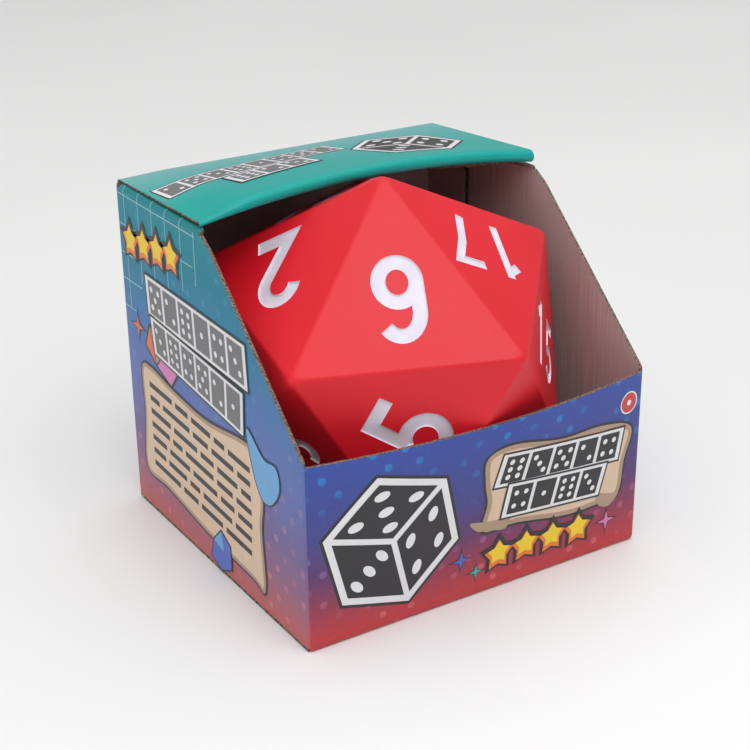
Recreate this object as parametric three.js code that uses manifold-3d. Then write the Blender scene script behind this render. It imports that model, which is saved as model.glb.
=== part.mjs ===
// A 20-sided foam die standing in an open-front display carton of corrugated board.
// Millimetres. Origin at the middle of the carton's base: X right along the front wall,
// Y from the front wall to the back wall, Z up.

import * as THREE from 'three';
import { ConvexGeometry } from 'three/addons/geometries/ConvexGeometry.js';
import { mergeVertices } from 'three/addons/utils/BufferGeometryUtils.js';
import Module from 'manifold-3d';

const wasm = await Module();
wasm.setup();

// ---------------------------------------------------------------- driving dimensions

const BOARD = 1.5;            // corrugated board
const GAP = 0.3;              // air between pieces that rest on each other
const CARTON_WIDTH = 165;     // outside, along X
const CARTON_DEPTH = 159;     // outside, along Y
const CARTON_TOP = 152;       // top of the dust flaps and of the back wall
const FRONT_HEIGHT = 81;      // low front wall
const SHOULDER_Y = -2.5;      // where the side walls start to slant down to the front
const FRONT_BULGE = 9;        // how far the die pushes out the middle of the front wall's top
const BULGE_POWER = 1.3;      // above 1, the bulge grows faster towards the wall's top
const WALL_STEPS = 8;         // flats across and up the bulged front wall

const NOSE_RADIUS = 2.75;     // outside of the fold at the lid's front
const NOSE_Y = -2;            // the fold's foremost point
const LID_RISE = 4.2;         // the lid's front stands this much above its back
const LID_ARCH = 7;           // extra height the die gives the middle of the lid's front
const LID_STEPS = 10;         // flats across the arched lid
const LID_STRETCHES = 5;      // flats from its back to its front
const TUCK_LENGTH = 18;       // flap folded back under the lid
const TUCK_SLOPE = 0.067;     // its rise towards the back
const TUCK_INSET = 2;         // it is this much narrower than the carton at each side

const FLAP_LENGTH = 40;       // dust flaps, top and bottom
const FLAP_CLEAR = 4;         // start of the dust flaps' slanted edge, from the hinge
const TOP_FLAP_FRONT = 8;     // the top dust flaps' front end, as a place along Y
const TOP_FLAP_TAPER = 14;    // how far their front edge slants back
const GLUE_TAB_WIDTH = 31;
const GLUE_TAB_TAPER = 6;
const BOTTOM_TUCK_HEIGHT = 15;
const BOTTOM_TUCK_TAPER = 5;
const BOTTOM_TUCK_CLEAR = 1;  // air between the bottom tuck flap and the walls

const DIE_FLATS = 138.7;      // face to opposite face
const DIE_ROUNDING = 5;       // radius on every edge and corner
const DIE_CENTRE = [-4.28, -11.36, 85.2];
const DIE_TURN = [-7.08, 12.33, -150.22];   // degrees about X, Y and Z
const SKIN = 2;               // tough skin of the foam moulding
const POUR_HOLE_RADIUS = 3;
const POUR_HOLE_DEPTH = 6;    // from the sharp corner inwards
const POUR_HOLE_SIDES = 12;

const ONE_DIGIT_HEIGHT = 36;
const TWO_DIGIT_HEIGHT = 27;
const ONE_DIGIT_STROKE = 0.15;    // width of a digit's stroke, in digit heights
const TWO_DIGIT_STROKE = 0.135;
const DIGIT_SPACE = 0.4;      // between two digits, in digit heights
// Numerals that sit off the middle of their face: how far to the right and up.
const NUMERAL_SHIFTS = { 2: [4.5, -2.6], 9: [-0.3, 2], 17: [0.8, -3.7] };
const RECESS = 1.2;           // depth of the sunk numerals
const FILL = 0.6;             // paint in the bottom of each recess
const ARC_STEP = 30;          // degrees per flat on the round parts of a digit

const HALF_W = CARTON_WIDTH / 2;
const HALF_D = CARTON_DEPTH / 2;

// ---------------------------------------------------------------- materials

function printedBoard(color) {
  return new THREE.MeshStandardMaterial({ color, roughness: 0.55, metalness: 0 });
}

function plainBoard() {
  return new THREE.MeshStandardMaterial({ color: 0x9a7f7c, roughness: 0.85, metalness: 0 });
}

function foamMaterial() {
  return new THREE.MeshStandardMaterial({ color: 0xc8303a, roughness: 0.8, metalness: 0 });
}

function skinMaterial() {
  return new THREE.MeshStandardMaterial({ color: 0xd8343f, roughness: 0.5, metalness: 0 });
}

function paintMaterial() {
  return new THREE.MeshStandardMaterial({ color: 0xf4f0f4, roughness: 0.6, metalness: 0 });
}

// ---------------------------------------------------------------- shared helpers

function toManifold(geometry) {
  const bare = geometry.clone();
  bare.deleteAttribute('normal');
  bare.deleteAttribute('uv');
  const merged = mergeVertices(bare, 1e-4);
  return new wasm.Manifold(new wasm.Mesh({
    numProp: 3,
    vertProperties: new Float32Array(merged.attributes.position.array),
    triVerts: new Uint32Array(merged.index.array),
  }));
}

function toGeometry(manifold) {
  const mesh = manifold.getMesh();
  const geometry = new THREE.BufferGeometry();
  geometry.setAttribute('position', new THREE.BufferAttribute(mesh.vertProperties, 3));
  geometry.setIndex(new THREE.BufferAttribute(mesh.triVerts, 1));
  geometry.computeVertexNormals();
  return geometry;
}

function piece(name, geometry, material) {
  const mesh = new THREE.Mesh(geometry, material);
  mesh.name = name;
  return mesh;
}

function outline(points) {
  return new THREE.Shape(points.map(([x, y]) => new THREE.Vector2(x, y)));
}

function plate(points, thickness) {
  return new THREE.ExtrudeGeometry(outline(points), { depth: thickness, bevelEnabled: false });
}

// Turns a plate drawn in the Y-Z plane so that its thickness runs along X.
function faceSideways(mesh) {
  mesh.rotation.set(Math.PI / 2, 0, Math.PI / 2, 'ZYX');
}

// ---------------------------------------------------------------- carton walls

// The plan of a wall across the carton, its two upright creases rounded on the outside.
// Y is measured outwards from the wall's inner face.
function crossWallPlan() {
  const bend = HALF_W - BOARD;
  const flats = Array.from({ length: WALL_STEPS + 1 }, (_, i) => bend * (1 - 2 * i / WALL_STEPS));
  const shape = new THREE.Shape();
  shape.moveTo(-HALF_W, 0);
  flats.slice(1).reverse().forEach((x) => shape.lineTo(x, 0));
  shape.lineTo(HALF_W, 0);
  shape.absarc(bend, 0, BOARD, 0, Math.PI / 2, false);
  flats.slice(1, -1).forEach((x) => shape.lineTo(x, BOARD));
  shape.absarc(-bend, 0, BOARD, Math.PI / 2, Math.PI, false);
  return shape;
}

function crossWallGeometry(height, steps) {
  return new THREE.ExtrudeGeometry(crossWallPlan(), {
    depth: height,
    steps,
    curveSegments: 3,
    bevelEnabled: false,
  });
}

function backWall() {
  const wall = piece('back_wall', crossWallGeometry(CARTON_TOP, 1), printedBoard(0x6a62a8));
  wall.position.y = HALF_D - BOARD;
  return wall;
}

// How far the die pushes the front wall out at a place.
function frontBulge(x, z) {
  return FRONT_BULGE * (1 - (x / HALF_W) ** 2) * (z / FRONT_HEIGHT) ** BULGE_POWER;
}

function frontWall() {
  const geometry = crossWallGeometry(FRONT_HEIGHT, WALL_STEPS);
  const at = geometry.attributes.position;
  for (let i = 0; i < at.count; i += 1) {
    at.setY(i, at.getY(i) + frontBulge(at.getX(i), at.getZ(i)));
  }
  geometry.rotateZ(Math.PI);
  geometry.computeVertexNormals();
  const wall = piece('front_wall', geometry, printedBoard(0x6a62a8));
  wall.position.y = -(HALF_D - BOARD);
  return wall;
}

// A side wall: high at the back, slanting down to the low front wall.
function sideWall(name, side) {
  const endY = HALF_D - BOARD - GAP;
  const foot = BOARD + GAP;
  const top = CARTON_TOP - BOARD - GAP;
  const slope = (CARTON_TOP - FRONT_HEIGHT) / (SHOULDER_Y + HALF_D);
  const geometry = plate([
    [-endY, foot],
    [endY, foot],
    [endY, top],
    [SHOULDER_Y, top],
    [-endY, top - slope * (SHOULDER_Y + endY)],
  ], BOARD);
  const wall = piece(name, geometry, printedBoard(0x5f78b0));
  faceSideways(wall);
  wall.position.x = side < 0 ? -HALF_W : HALF_W - BOARD;
  return wall;
}

// The tab that closes the carton's sleeve, flat against the inside of the right wall.
function glueTab() {
  const backY = HALF_D - BOARD - GAP;
  const frontY = backY - GLUE_TAB_WIDTH;
  const geometry = plate([
    [frontY, 2 * GLUE_TAB_TAPER],
    [backY, GLUE_TAB_TAPER],
    [backY, CARTON_TOP - BOARD - GLUE_TAB_TAPER],
    [frontY, CARTON_TOP - BOARD - 2 * GLUE_TAB_TAPER],
  ], BOARD);
  const tab = piece('glue_tab', geometry, plainBoard());
  faceSideways(tab);
  tab.position.x = HALF_W - 2 * BOARD - GAP;
  return tab;
}

function cartonWalls() {
  const walls = new THREE.Group();
  walls.name = 'carton_walls';
  walls.add(
    frontWall(),
    backWall(),
    sideWall('left_wall', -1),
    sideWall('right_wall', 1),
    glueTab(),
  );
  return walls;
}

// ---------------------------------------------------------------- lid

// How far the die lifts the lid at a place: most at the middle of the front edge.
function archHeight(x, y) {
  const forward = (HALF_D - y) / (HALF_D - NOSE_Y);
  return LID_ARCH * forward * (1 - (x / HALF_W) ** 2);
}

// Extrudes a Y-Z profile across the carton and bends it over the die.
function archedBoard(name, shape, width, material) {
  const geometry = new THREE.ExtrudeGeometry(shape, {
    depth: width,
    steps: LID_STEPS,
    curveSegments: 4,
    bevelEnabled: false,
  });
  const at = geometry.attributes.position;
  for (let i = 0; i < at.count; i += 1) {
    const x = at.getZ(i) - width / 2;
    at.setY(i, at.getY(i) + archHeight(x, at.getX(i)));
  }
  geometry.computeVertexNormals();
  const mesh = piece(name, geometry, material);
  faceSideways(mesh);
  mesh.position.x = -width / 2;
  return mesh;
}

// Draws a straight line in short stretches, so that it can be bent later.
function lineInStretches(shape, to) {
  const from = shape.currentPoint.clone();
  for (let i = 1; i <= LID_STRETCHES; i += 1) {
    const share = i / LID_STRETCHES;
    shape.lineTo(from.x + (to[0] - from.x) * share, from.y + (to[1] - from.y) * share);
  }
}

function lidPanel() {
  const backY = HALF_D - GAP;
  const backZ = CARTON_TOP + GAP;
  const foldY = NOSE_Y + NOSE_RADIUS;
  const foldZ = backZ + LID_RISE + BOARD - NOSE_RADIUS;
  const shape = new THREE.Shape();
  shape.moveTo(backY, backZ + BOARD);
  lineInStretches(shape, [foldY, foldZ + NOSE_RADIUS]);
  shape.absarc(foldY, foldZ, NOSE_RADIUS, Math.PI / 2, 3 * Math.PI / 2, false);
  shape.lineTo(foldY, foldZ - NOSE_RADIUS + BOARD);
  shape.absarc(foldY, foldZ, NOSE_RADIUS - BOARD, 3 * Math.PI / 2, Math.PI / 2, true);
  lineInStretches(shape, [backY, backZ]);
  return archedBoard('lid_panel', shape, CARTON_WIDTH - 2 * GAP, printedBoard(0x64b9b4));
}

function lidTuckFlap() {
  const frontY = NOSE_Y + NOSE_RADIUS + GAP;
  const backY = frontY + TUCK_LENGTH - GAP;
  const frontZ = CARTON_TOP + GAP + LID_RISE + BOARD - 2 * NOSE_RADIUS;
  const backZ = frontZ + TUCK_SLOPE * TUCK_LENGTH;
  const shape = outline([
    [frontY, frontZ],
    [backY, backZ],
    [backY, backZ + BOARD],
    [frontY, frontZ + BOARD],
  ]);
  return archedBoard('lid_tuck_flap', shape, CARTON_WIDTH - 2 * TUCK_INSET, plainBoard());
}

function topDustFlap(name, side) {
  const rear = HALF_D - FLAP_CLEAR;
  const geometry = plate([
    [0, TOP_FLAP_FRONT],
    [FLAP_LENGTH, TOP_FLAP_FRONT + TOP_FLAP_TAPER],
    [FLAP_LENGTH, rear - FLAP_LENGTH],
    [0, rear],
  ].map(([x, y]) => [side * (HALF_W - x), y]), BOARD);
  const flap = piece(name, geometry, plainBoard());
  flap.position.z = CARTON_TOP - BOARD;
  return flap;
}

function cartonTop() {
  const top = new THREE.Group();
  top.name = 'carton_top';
  top.add(
    lidPanel(),
    lidTuckFlap(),
    topDustFlap('left_dust_flap', -1),
    topDustFlap('right_dust_flap', 1),
  );
  return top;
}

// ---------------------------------------------------------------- bottom

// The bottom tuck flap's outer face.
const TUCK_OUTER_Y = HALF_D - BOARD - BOTTOM_TUCK_CLEAR;

function bottomPanel() {
  const halfWidth = HALF_W - GAP;
  const frontY = -(HALF_D - BOARD - GAP);
  const backY = TUCK_OUTER_Y - BOARD - GAP;
  const geometry = plate([
    [-halfWidth, frontY],
    [halfWidth, frontY],
    [halfWidth, backY],
    [-halfWidth, backY],
  ], BOARD);
  return piece('bottom_panel', geometry, plainBoard());
}

function bottomTuckFlap() {
  const halfWidth = HALF_W - 2 * BOARD - BOTTOM_TUCK_CLEAR;
  const geometry = plate([
    [-halfWidth, 0],
    [halfWidth, 0],
    [halfWidth - BOTTOM_TUCK_TAPER, BOTTOM_TUCK_HEIGHT],
    [-halfWidth + BOTTOM_TUCK_TAPER, BOTTOM_TUCK_HEIGHT],
  ], BOARD);
  const flap = piece('bottom_tuck_flap', geometry, plainBoard());
  flap.rotation.x = Math.PI / 2;
  flap.position.y = TUCK_OUTER_Y;
  return flap;
}

function bottomDustFlap(name, side) {
  const hingeX = HALF_W - BOARD - GAP;
  const frontY = -(HALF_D - BOARD) + FLAP_CLEAR;
  const rearY = HALF_D - BOTTOM_TUCK_HEIGHT;
  const geometry = plate([
    [0, frontY],
    [FLAP_LENGTH, frontY + FLAP_LENGTH],
    [FLAP_LENGTH, rearY],
    [0, rearY],
  ].map(([x, y]) => [side * (hingeX - x), y]), BOARD);
  const flap = piece(name, geometry, plainBoard());
  flap.position.z = BOARD + GAP;
  return flap;
}

function cartonBottom() {
  const bottom = new THREE.Group();
  bottom.name = 'carton_bottom';
  bottom.add(
    bottomPanel(),
    bottomTuckFlap(),
    bottomDustFlap('left_bottom_flap', -1),
    bottomDustFlap('right_bottom_flap', 1),
  );
  return bottom;
}

// ---------------------------------------------------------------- the die's body
// In the die's own frame one corner is at +Z and one at -Z, with a ring of five corners
// above the middle and a ring of five, turned by 36 degrees, below it.

const RING_LATITUDE = Math.atan(0.5);
const INRADIUS = DIE_FLATS / 2;
const CIRCUMRADIUS = INRADIUS / 0.7946545;

function ringCorner(index, upper) {
  const azimuth = 2 * Math.PI * (index + (upper ? 0 : 0.5)) / 5;
  const height = upper ? RING_LATITUDE : -RING_LATITUDE;
  return new THREE.Vector3(
    Math.cos(height) * Math.cos(azimuth),
    Math.cos(height) * Math.sin(azimuth),
    Math.sin(height),
  );
}

const NORTH = new THREE.Vector3(0, 0, 1);
const SOUTH = new THREE.Vector3(0, 0, -1);
const UPPER = [0, 1, 2, 3, 4].map((i) => ringCorner(i, true));
const LOWER = [0, 1, 2, 3, 4].map((i) => ringCorner(i, false));

function faceOf(corners, value, points) {
  const centre = new THREE.Vector3();
  corners.forEach((corner) => centre.addScaledVector(corner, 1 / 3));
  return { corners, normal: centre.normalize(), value, points };
}

// The twenty faces with their numerals; opposite faces add up to 21.
// points is the corner that the top of the numeral is turned to.
function dieFaces() {
  const cap = [9, 17, 3, 10, 2];
  const belt = [5, 15, 8, 20, 14];
  const faces = [];
  for (let i = 0; i < 5; i += 1) {
    const next = (i + 1) % 5;
    const opposite = (i + 3) % 5;
    const capTop = cap[i] === 9 ? NORTH : UPPER[cap[i] === 2 ? next : i];
    const beltTop = cap[i] === 17 ? UPPER[next] : UPPER[i];
    faces.push(faceOf([NORTH, UPPER[i], UPPER[next]], cap[i], capTop));
    faces.push(faceOf([UPPER[i], LOWER[i], UPPER[next]], belt[i], beltTop));
    faces.push(faceOf([LOWER[i], UPPER[next], LOWER[next]], 21 - belt[opposite], LOWER[i]));
    faces.push(faceOf([SOUTH, LOWER[i], LOWER[next]], 21 - cap[opposite], LOWER[i]));
  }
  return faces;
}

const FACES = dieFaces();
const NEIGHBOUR_COSINE = 0.7;   // the normals of two faces that share an edge are closer than this

// Directions in which a corner's rounding touches: its own, its faces' and between them.
function roundingDirections(corner) {
  const around = FACES.filter((face) => face.corners.includes(corner)).map((face) => face.normal);
  const directions = [corner.clone(), ...around];
  around.forEach((normal, i) => {
    directions.push(normal.clone().add(corner).normalize());
    around.slice(i + 1).forEach((other) => {
      if (normal.dot(other) > NEIGHBOUR_COSINE) {
        const middle = normal.clone().add(other).normalize();
        directions.push(middle);
        directions.push(middle.clone().add(normal).normalize());
        directions.push(middle.clone().add(other).normalize());
        directions.push(middle.clone().add(corner).normalize());
      }
    });
  });
  return directions;
}

// An icosahedron with rounded edges and corners, its faces moved inwards by inset.
function roundedIcosahedron(inset) {
  const rounding = DIE_ROUNDING - inset;
  const coreRadius = CIRCUMRADIUS * (1 - DIE_ROUNDING / INRADIUS);
  const points = [];
  [NORTH, SOUTH, ...UPPER, ...LOWER].forEach((corner) => {
    roundingDirections(corner).forEach((direction) => {
      points.push(corner.clone().multiplyScalar(coreRadius).addScaledVector(direction, rounding));
    });
  });
  return new ConvexGeometry(points);
}

// ---------------------------------------------------------------- numerals
// Each digit is one unit high and is drawn by the middle lines of its strokes.

function arcPath(x, y, radiusX, radiusY, from, to) {
  const count = Math.max(2, Math.round(Math.abs(to - from) / ARC_STEP));
  return Array.from({ length: count + 1 }, (_, i) => {
    const angle = THREE.MathUtils.degToRad(from + (to - from) * i / count);
    return [x + radiusX * Math.cos(angle), y + radiusY * Math.sin(angle)];
  });
}

function ringPath(x, y, radiusX, radiusY) {
  const path = arcPath(x, y, radiusX, radiusY, 0, 360);
  path.pop();
  path.closed = true;
  return path;
}

function halfTurn(path, width) {
  const turned = path.map(([x, y]) => [width - x, 1 - y]);
  turned.closed = path.closed;
  return turned;
}

const NINE = [
  ringPath(0.29, 0.69, 0.205, 0.225),
  [[0.495, 0.66], ...arcPath(0.29, 0.36, 0.205, 0.275, 0, -140)],
];

const DIGITS = {
  0: { width: 0.6, paths: [ringPath(0.3, 0.5, 0.215, 0.415)] },
  1: { width: 0.335, paths: [[[0.03, 0.755], [0.25, 0.9]], [[0.25, 1], [0.25, 0]]] },
  2: {
    width: 0.58,
    paths: [[...arcPath(0.29, 0.7, 0.205, 0.215, 165, -30), [0.13, 0.085], [0.57, 0.085]]],
  },
  3: {
    width: 0.58,
    paths: [
      arcPath(0.28, 0.72, 0.19, 0.195, 150, -90),
      arcPath(0.28, 0.29, 0.215, 0.205, 90, -150),
    ],
  },
  4: {
    width: 0.6,
    paths: [[[0.43, 0.96], [0.06, 0.27], [0.6, 0.27]], [[0.43, 1], [0.43, 0]]],
  },
  5: {
    width: 0.6,
    paths: [[[0.51, 0.925], [0.16, 0.925], [0.135, 0.51]], arcPath(0.29, 0.31, 0.225, 0.225, 140, -150)],
  },
  6: { width: 0.58, paths: NINE.map((path) => halfTurn(path, 0.58)) },
  7: { width: 0.58, paths: [[[0.04, 0.915], [0.54, 0.915], [0.34, 0.5], [0.22, 0]]] },
  8: { width: 0.58, paths: [ringPath(0.29, 0.725, 0.175, 0.19), ringPath(0.29, 0.29, 0.205, 0.205)] },
  9: { width: 0.58, paths: NINE },
};

function along(from, to) {
  const length = Math.hypot(to[0] - from[0], to[1] - from[1]);
  return [(to[0] - from[0]) / length, (to[1] - from[1]) / length];
}

// The path moved sideways by distance, with mitred corners; shorten cuts back open ends.
function sidePath(path, distance, shorten) {
  const last = path.length - 1;
  return path.map((point, i) => {
    const before = i > 0 ? path[i - 1] : path.closed ? path[last] : null;
    const after = i < last ? path[i + 1] : path.closed ? path[0] : null;
    const arriving = before ? along(before, point) : along(point, after);
    const leaving = after ? along(point, after) : arriving;
    const across = [-(arriving[1] + leaving[1]), arriving[0] + leaving[0]];
    const spread = Math.hypot(across[0], across[1]);
    const mitre = distance * 2 / (spread * spread);
    const end = before ? (after ? 0 : -shorten) : shorten;
    return [
      point[0] + across[0] * mitre + arriving[0] * end,
      point[1] + across[1] * mitre + arriving[1] * end,
    ];
  });
}

function strokeShape(path, halfWidth, shorten) {
  const left = sidePath(path, halfWidth, shorten);
  const right = sidePath(path, -halfWidth, shorten);
  if (!path.closed) {
    return outline([...left, ...right.reverse()]);
  }
  const shape = outline(right);
  shape.holes.push(outline(left.reverse()));
  return shape;
}

function strokeWidth(height) {
  return height * (height === TWO_DIGIT_HEIGHT ? TWO_DIGIT_STROKE : ONE_DIGIT_STROKE);
}

// One digit as a solid of the given height and depth, its outline drawn in by inset.
function digitSolid(digit, height, depth, inset) {
  const halfWidth = strokeWidth(height) / 2 - inset;
  const solids = DIGITS[digit].paths.map((unitPath) => {
    const path = unitPath.map(([x, y]) => [x * height, y * height]);
    path.closed = unitPath.closed;
    const shape = strokeShape(path, halfWidth, inset);
    return toManifold(new THREE.ExtrudeGeometry(shape, { depth, bevelEnabled: false }));
  });
  return solids.reduce((sum, solid) => sum.add(solid));
}

// The digits of a face's numeral, with the lower left corner of each.
function numeralLayout(value) {
  const digits = String(value).split('');
  const height = digits.length > 1 ? TWO_DIGIT_HEIGHT : ONE_DIGIT_HEIGHT;
  const widths = digits.map((digit) => DIGITS[digit].width * height);
  const total = widths.reduce((sum, width) => sum + width, 0)
    + (digits.length - 1) * DIGIT_SPACE * height;
  const [shiftX, shiftY] = NUMERAL_SHIFTS[value] ?? [0, 0];
  let left = shiftX - total / 2;
  return digits.map((digit, i) => {
    const place = { digit, height, left, foot: shiftY - height / 2, order: i };
    left += widths[i] + DIGIT_SPACE * height;
    return place;
  });
}

// Places something drawn in X-Y with its front towards +Z on a face of the die.
function onFace(face, left, foot, depth) {
  const up = face.points.clone().addScaledVector(face.normal, -face.points.dot(face.normal));
  up.normalize();
  const right = up.clone().cross(face.normal);
  const matrix = new THREE.Matrix4().makeBasis(right, up, face.normal);
  const corner = face.normal.clone().multiplyScalar(INRADIUS - depth)
    .addScaledVector(right, left)
    .addScaledVector(up, foot);
  return matrix.setPosition(corner);
}

function placedDigit(face, place, depthBelow, thickness, inset) {
  const solid = digitSolid(place.digit, place.height, thickness, inset);
  return solid.transform(onFace(face, place.left, place.foot, depthBelow).elements);
}

function numeralFills() {
  const fills = [];
  FACES.forEach((face) => {
    numeralLayout(face.value).forEach((place) => {
      const label = String(face.value).padStart(2, '0');
      const role = face.value < 10 ? 'paint' : ['tens', 'units'][place.order];
      const solid = placedDigit(face, place, RECESS - GAP, FILL, GAP);
      fills.push(piece(`numeral_${label}_${role}`, toGeometry(solid), paintMaterial()));
    });
  });
  return fills;
}

function dieSkin() {
  const proud = 1;
  let skin = toManifold(roundedIcosahedron(0)).subtract(toManifold(roundedIcosahedron(SKIN)));
  FACES.forEach((face) => {
    numeralLayout(face.value).forEach((place) => {
      skin = skin.subtract(placedDigit(face, place, RECESS, RECESS + proud, 0));
    });
  });
  const hole = new THREE.CylinderGeometry(
    POUR_HOLE_RADIUS,
    POUR_HOLE_RADIUS,
    2 * POUR_HOLE_DEPTH,
    POUR_HOLE_SIDES,
  );
  hole.rotateX(Math.PI / 2);
  hole.translate(0, 0, -CIRCUMRADIUS);
  return piece('die_skin', toGeometry(skin.subtract(toManifold(hole))), skinMaterial());
}

function foamCore() {
  return piece('die_foam_core', roundedIcosahedron(SKIN + GAP), foamMaterial());
}

function die() {
  const group = new THREE.Group();
  group.name = 'die';
  group.add(dieSkin(), foamCore(), ...numeralFills());
  const [x, y, z] = DIE_TURN.map(THREE.MathUtils.degToRad);
  group.rotation.set(x, y, z, 'ZYX');
  group.position.set(...DIE_CENTRE);
  return group;
}

// ---------------------------------------------------------------- the whole object

const object = new THREE.Group();
object.name = 'giant_die_in_carton';
object.add(cartonWalls(), cartonTop(), cartonBottom(), die());

export default object;
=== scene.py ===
"""The look of a giant foam die in its open-front display carton. Metres, in the CAD model's frame."""

import math

import bmesh
import bpy
from mathutils import Euler, Matrix, Vector
from mathutils.geometry import tessellate_polygon


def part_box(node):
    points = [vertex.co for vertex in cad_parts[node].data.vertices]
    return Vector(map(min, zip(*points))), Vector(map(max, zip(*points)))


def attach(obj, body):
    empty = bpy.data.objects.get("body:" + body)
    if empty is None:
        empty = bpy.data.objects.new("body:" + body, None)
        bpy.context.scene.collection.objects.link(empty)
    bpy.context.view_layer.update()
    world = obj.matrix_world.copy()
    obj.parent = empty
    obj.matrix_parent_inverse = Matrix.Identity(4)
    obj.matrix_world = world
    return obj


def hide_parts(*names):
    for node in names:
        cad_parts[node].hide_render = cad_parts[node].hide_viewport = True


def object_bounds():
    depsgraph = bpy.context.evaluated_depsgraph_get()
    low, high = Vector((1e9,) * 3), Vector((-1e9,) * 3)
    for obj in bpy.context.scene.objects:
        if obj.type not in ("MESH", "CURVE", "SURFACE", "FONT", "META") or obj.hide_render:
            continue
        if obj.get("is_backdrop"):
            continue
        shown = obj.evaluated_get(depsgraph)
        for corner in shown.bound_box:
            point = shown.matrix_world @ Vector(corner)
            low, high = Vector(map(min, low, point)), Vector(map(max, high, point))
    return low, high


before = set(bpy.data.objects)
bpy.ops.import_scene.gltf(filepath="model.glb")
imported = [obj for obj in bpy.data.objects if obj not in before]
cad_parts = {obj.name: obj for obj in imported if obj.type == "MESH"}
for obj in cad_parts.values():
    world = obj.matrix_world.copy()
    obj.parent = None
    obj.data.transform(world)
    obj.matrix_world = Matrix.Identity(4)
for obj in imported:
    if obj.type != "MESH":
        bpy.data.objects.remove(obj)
cad_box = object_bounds()

MM = 0.001

# ---------------------------------------------------------------- sizes in mm
# They are the CAD model's, but for the lid's pressed edge and the depth of the numerals.

BOARD = 1.5
HALF_WIDTH = 82.5
HALF_DEPTH = 79.5
CARTON_TOP = 152.0
FRONT_HEIGHT = 81.0
SHOULDER_Y = -2.5        # where the side walls' tops start to slant
FRONT_BULGE = 9.0
CREASE = 2.2             # outside radius of the creases
SIDE_FOOT = 1.8          # the side walls start above the bottom panel
SIDE_TOP = 149.9         # and end where their dust flaps bend over
BACK_TOP = 151.1         # the back wall ends under the lid's crease
TAB_TAPER = 6.0          # how much shorter the glue tab's free edge is than its crease, at each end
LID_UNDERSIDE = 152.3    # at the lid's back
LID_RISE = 4.2           # how much higher the lid's front is than its back
LID_EDGE_RISE = 1.2      # the same at its left edge
LID_ARCH = 7.3           # how far the die pushes the lid up in the middle
LID_HALF_WIDTH = 81.2
PRESSED_BOARD = 0.8      # the board's thickness where the lid is pressed, at its left edge
PRESSED_WIDTH = 24.0
NOSE_Y = -2.0            # the foremost line of the fold at the lid's front
NOSE_RADIUS = 2.75
PRESSED_NOSE_RADIUS = 1.0
TUCK_HALF_WIDTH = 79.0
TUCK_LENGTH = 18.0
TUCK_SLOPE = 0.067
PRESSED_TUCK = 0.6       # the tuck flap's thickness under the lid's pressed edge
FLAP_LENGTH = 40.0
FLAP_CLEAR = 4.0
FLAP_FRONT = 8.0         # the dust flaps start behind the lid's nose
FLAP_TAPER = 14.0
BOTTOM_TUCK_TAPER = 5.0

DIE_FLATS = 138.7
TIP_ROUNDING = 5.0
EDGE_ROUNDING = 2.6
TIP_LENGTH = 4.0         # how far from a tip its edges reach their own rounding
DIE_CENTRE = (-4.28, -11.36, 85.2)
DIE_TURN = (-7.08, 12.33, -150.22)     # about X, Y and Z, in degrees
ONE_DIGIT_HEIGHT = 36.0
TWO_DIGIT_HEIGHT = 27.0
ONE_DIGIT_STROKE = 0.15  # width of a digit's stroke, in digit heights
TWO_DIGIT_STROKE = 0.135
DIGIT_SPACE = 0.40
DIGIT_SHIFTS = {2: (4.5, -2.6), 9: (-0.3, 2.0), 17: (0.8, -3.7)}   # off the middle of the face
RECESS = 0.9             # depth of the numerals
RECESS_DRAFT = 0.25      # how much wider a recess is at the surface than at its floor, each side
CUTTER_PROUD = 0.8       # how far the numeral cutters stand out of the face
POUR_HOLE_RADIUS = 3.0
POUR_HOLE_DEPTH = 6.0


def box_mm(node_name):
    """A CAD node's lowest and highest corners, in mm."""
    return [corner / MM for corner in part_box(node_name)]


# ---------------------------------------------------------------- node helpers

def new_material(name):
    material = bpy.data.materials.new(name)
    material.use_nodes = True
    return material, material.node_tree


def node(tree, kind, **settings):
    made = tree.nodes.new(kind)
    for key, value in settings.items():
        setattr(made, key, value)
    return made


def math_node(tree, operation, first, second):
    made = node(tree, "ShaderNodeMath", operation=operation)
    for socket, value in zip(made.inputs, (first, second)):
        feed(tree, value, socket)
    return made.outputs[0]


def vector_node(tree, operation, first, second=None):
    made = node(tree, "ShaderNodeVectorMath", operation=operation)
    for socket, value in zip(made.inputs, (first, second)):
        feed(tree, value, socket)
    return made.outputs["Value" if operation == "LENGTH" else "Vector"]


def feed(tree, value, socket):
    if value is None:
        return
    if isinstance(value, bpy.types.NodeSocket):
        tree.links.new(value, socket)
    else:
        socket.default_value = value


def ramp(tree, factor, stops):
    made = node(tree, "ShaderNodeValToRGB")
    elements = made.color_ramp.elements
    while len(elements) < len(stops):
        elements.new(0.5)
    for element, (position, color) in zip(elements, stops):
        element.position = position
        element.color = (*color, 1)
    tree.links.new(factor, made.inputs[0])
    return made.outputs[0]


def mix_color(tree, factor, first, second, blend="MIX"):
    made = node(tree, "ShaderNodeMix", data_type="RGBA", blend_type=blend)
    feed(tree, factor, made.inputs[0])
    for value, socket in ((first, made.inputs[6]), (second, made.inputs[7])):
        feed(tree, (*value, 1) if isinstance(value, tuple) else value, socket)
    return made.outputs[2]


def noise(tree, vector, scale, detail=3.0):
    made = node(tree, "ShaderNodeTexNoise")
    tree.links.new(vector, made.inputs["Vector"])
    made.inputs["Scale"].default_value = scale
    made.inputs["Detail"].default_value = detail
    return made.outputs["Fac"]


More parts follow.
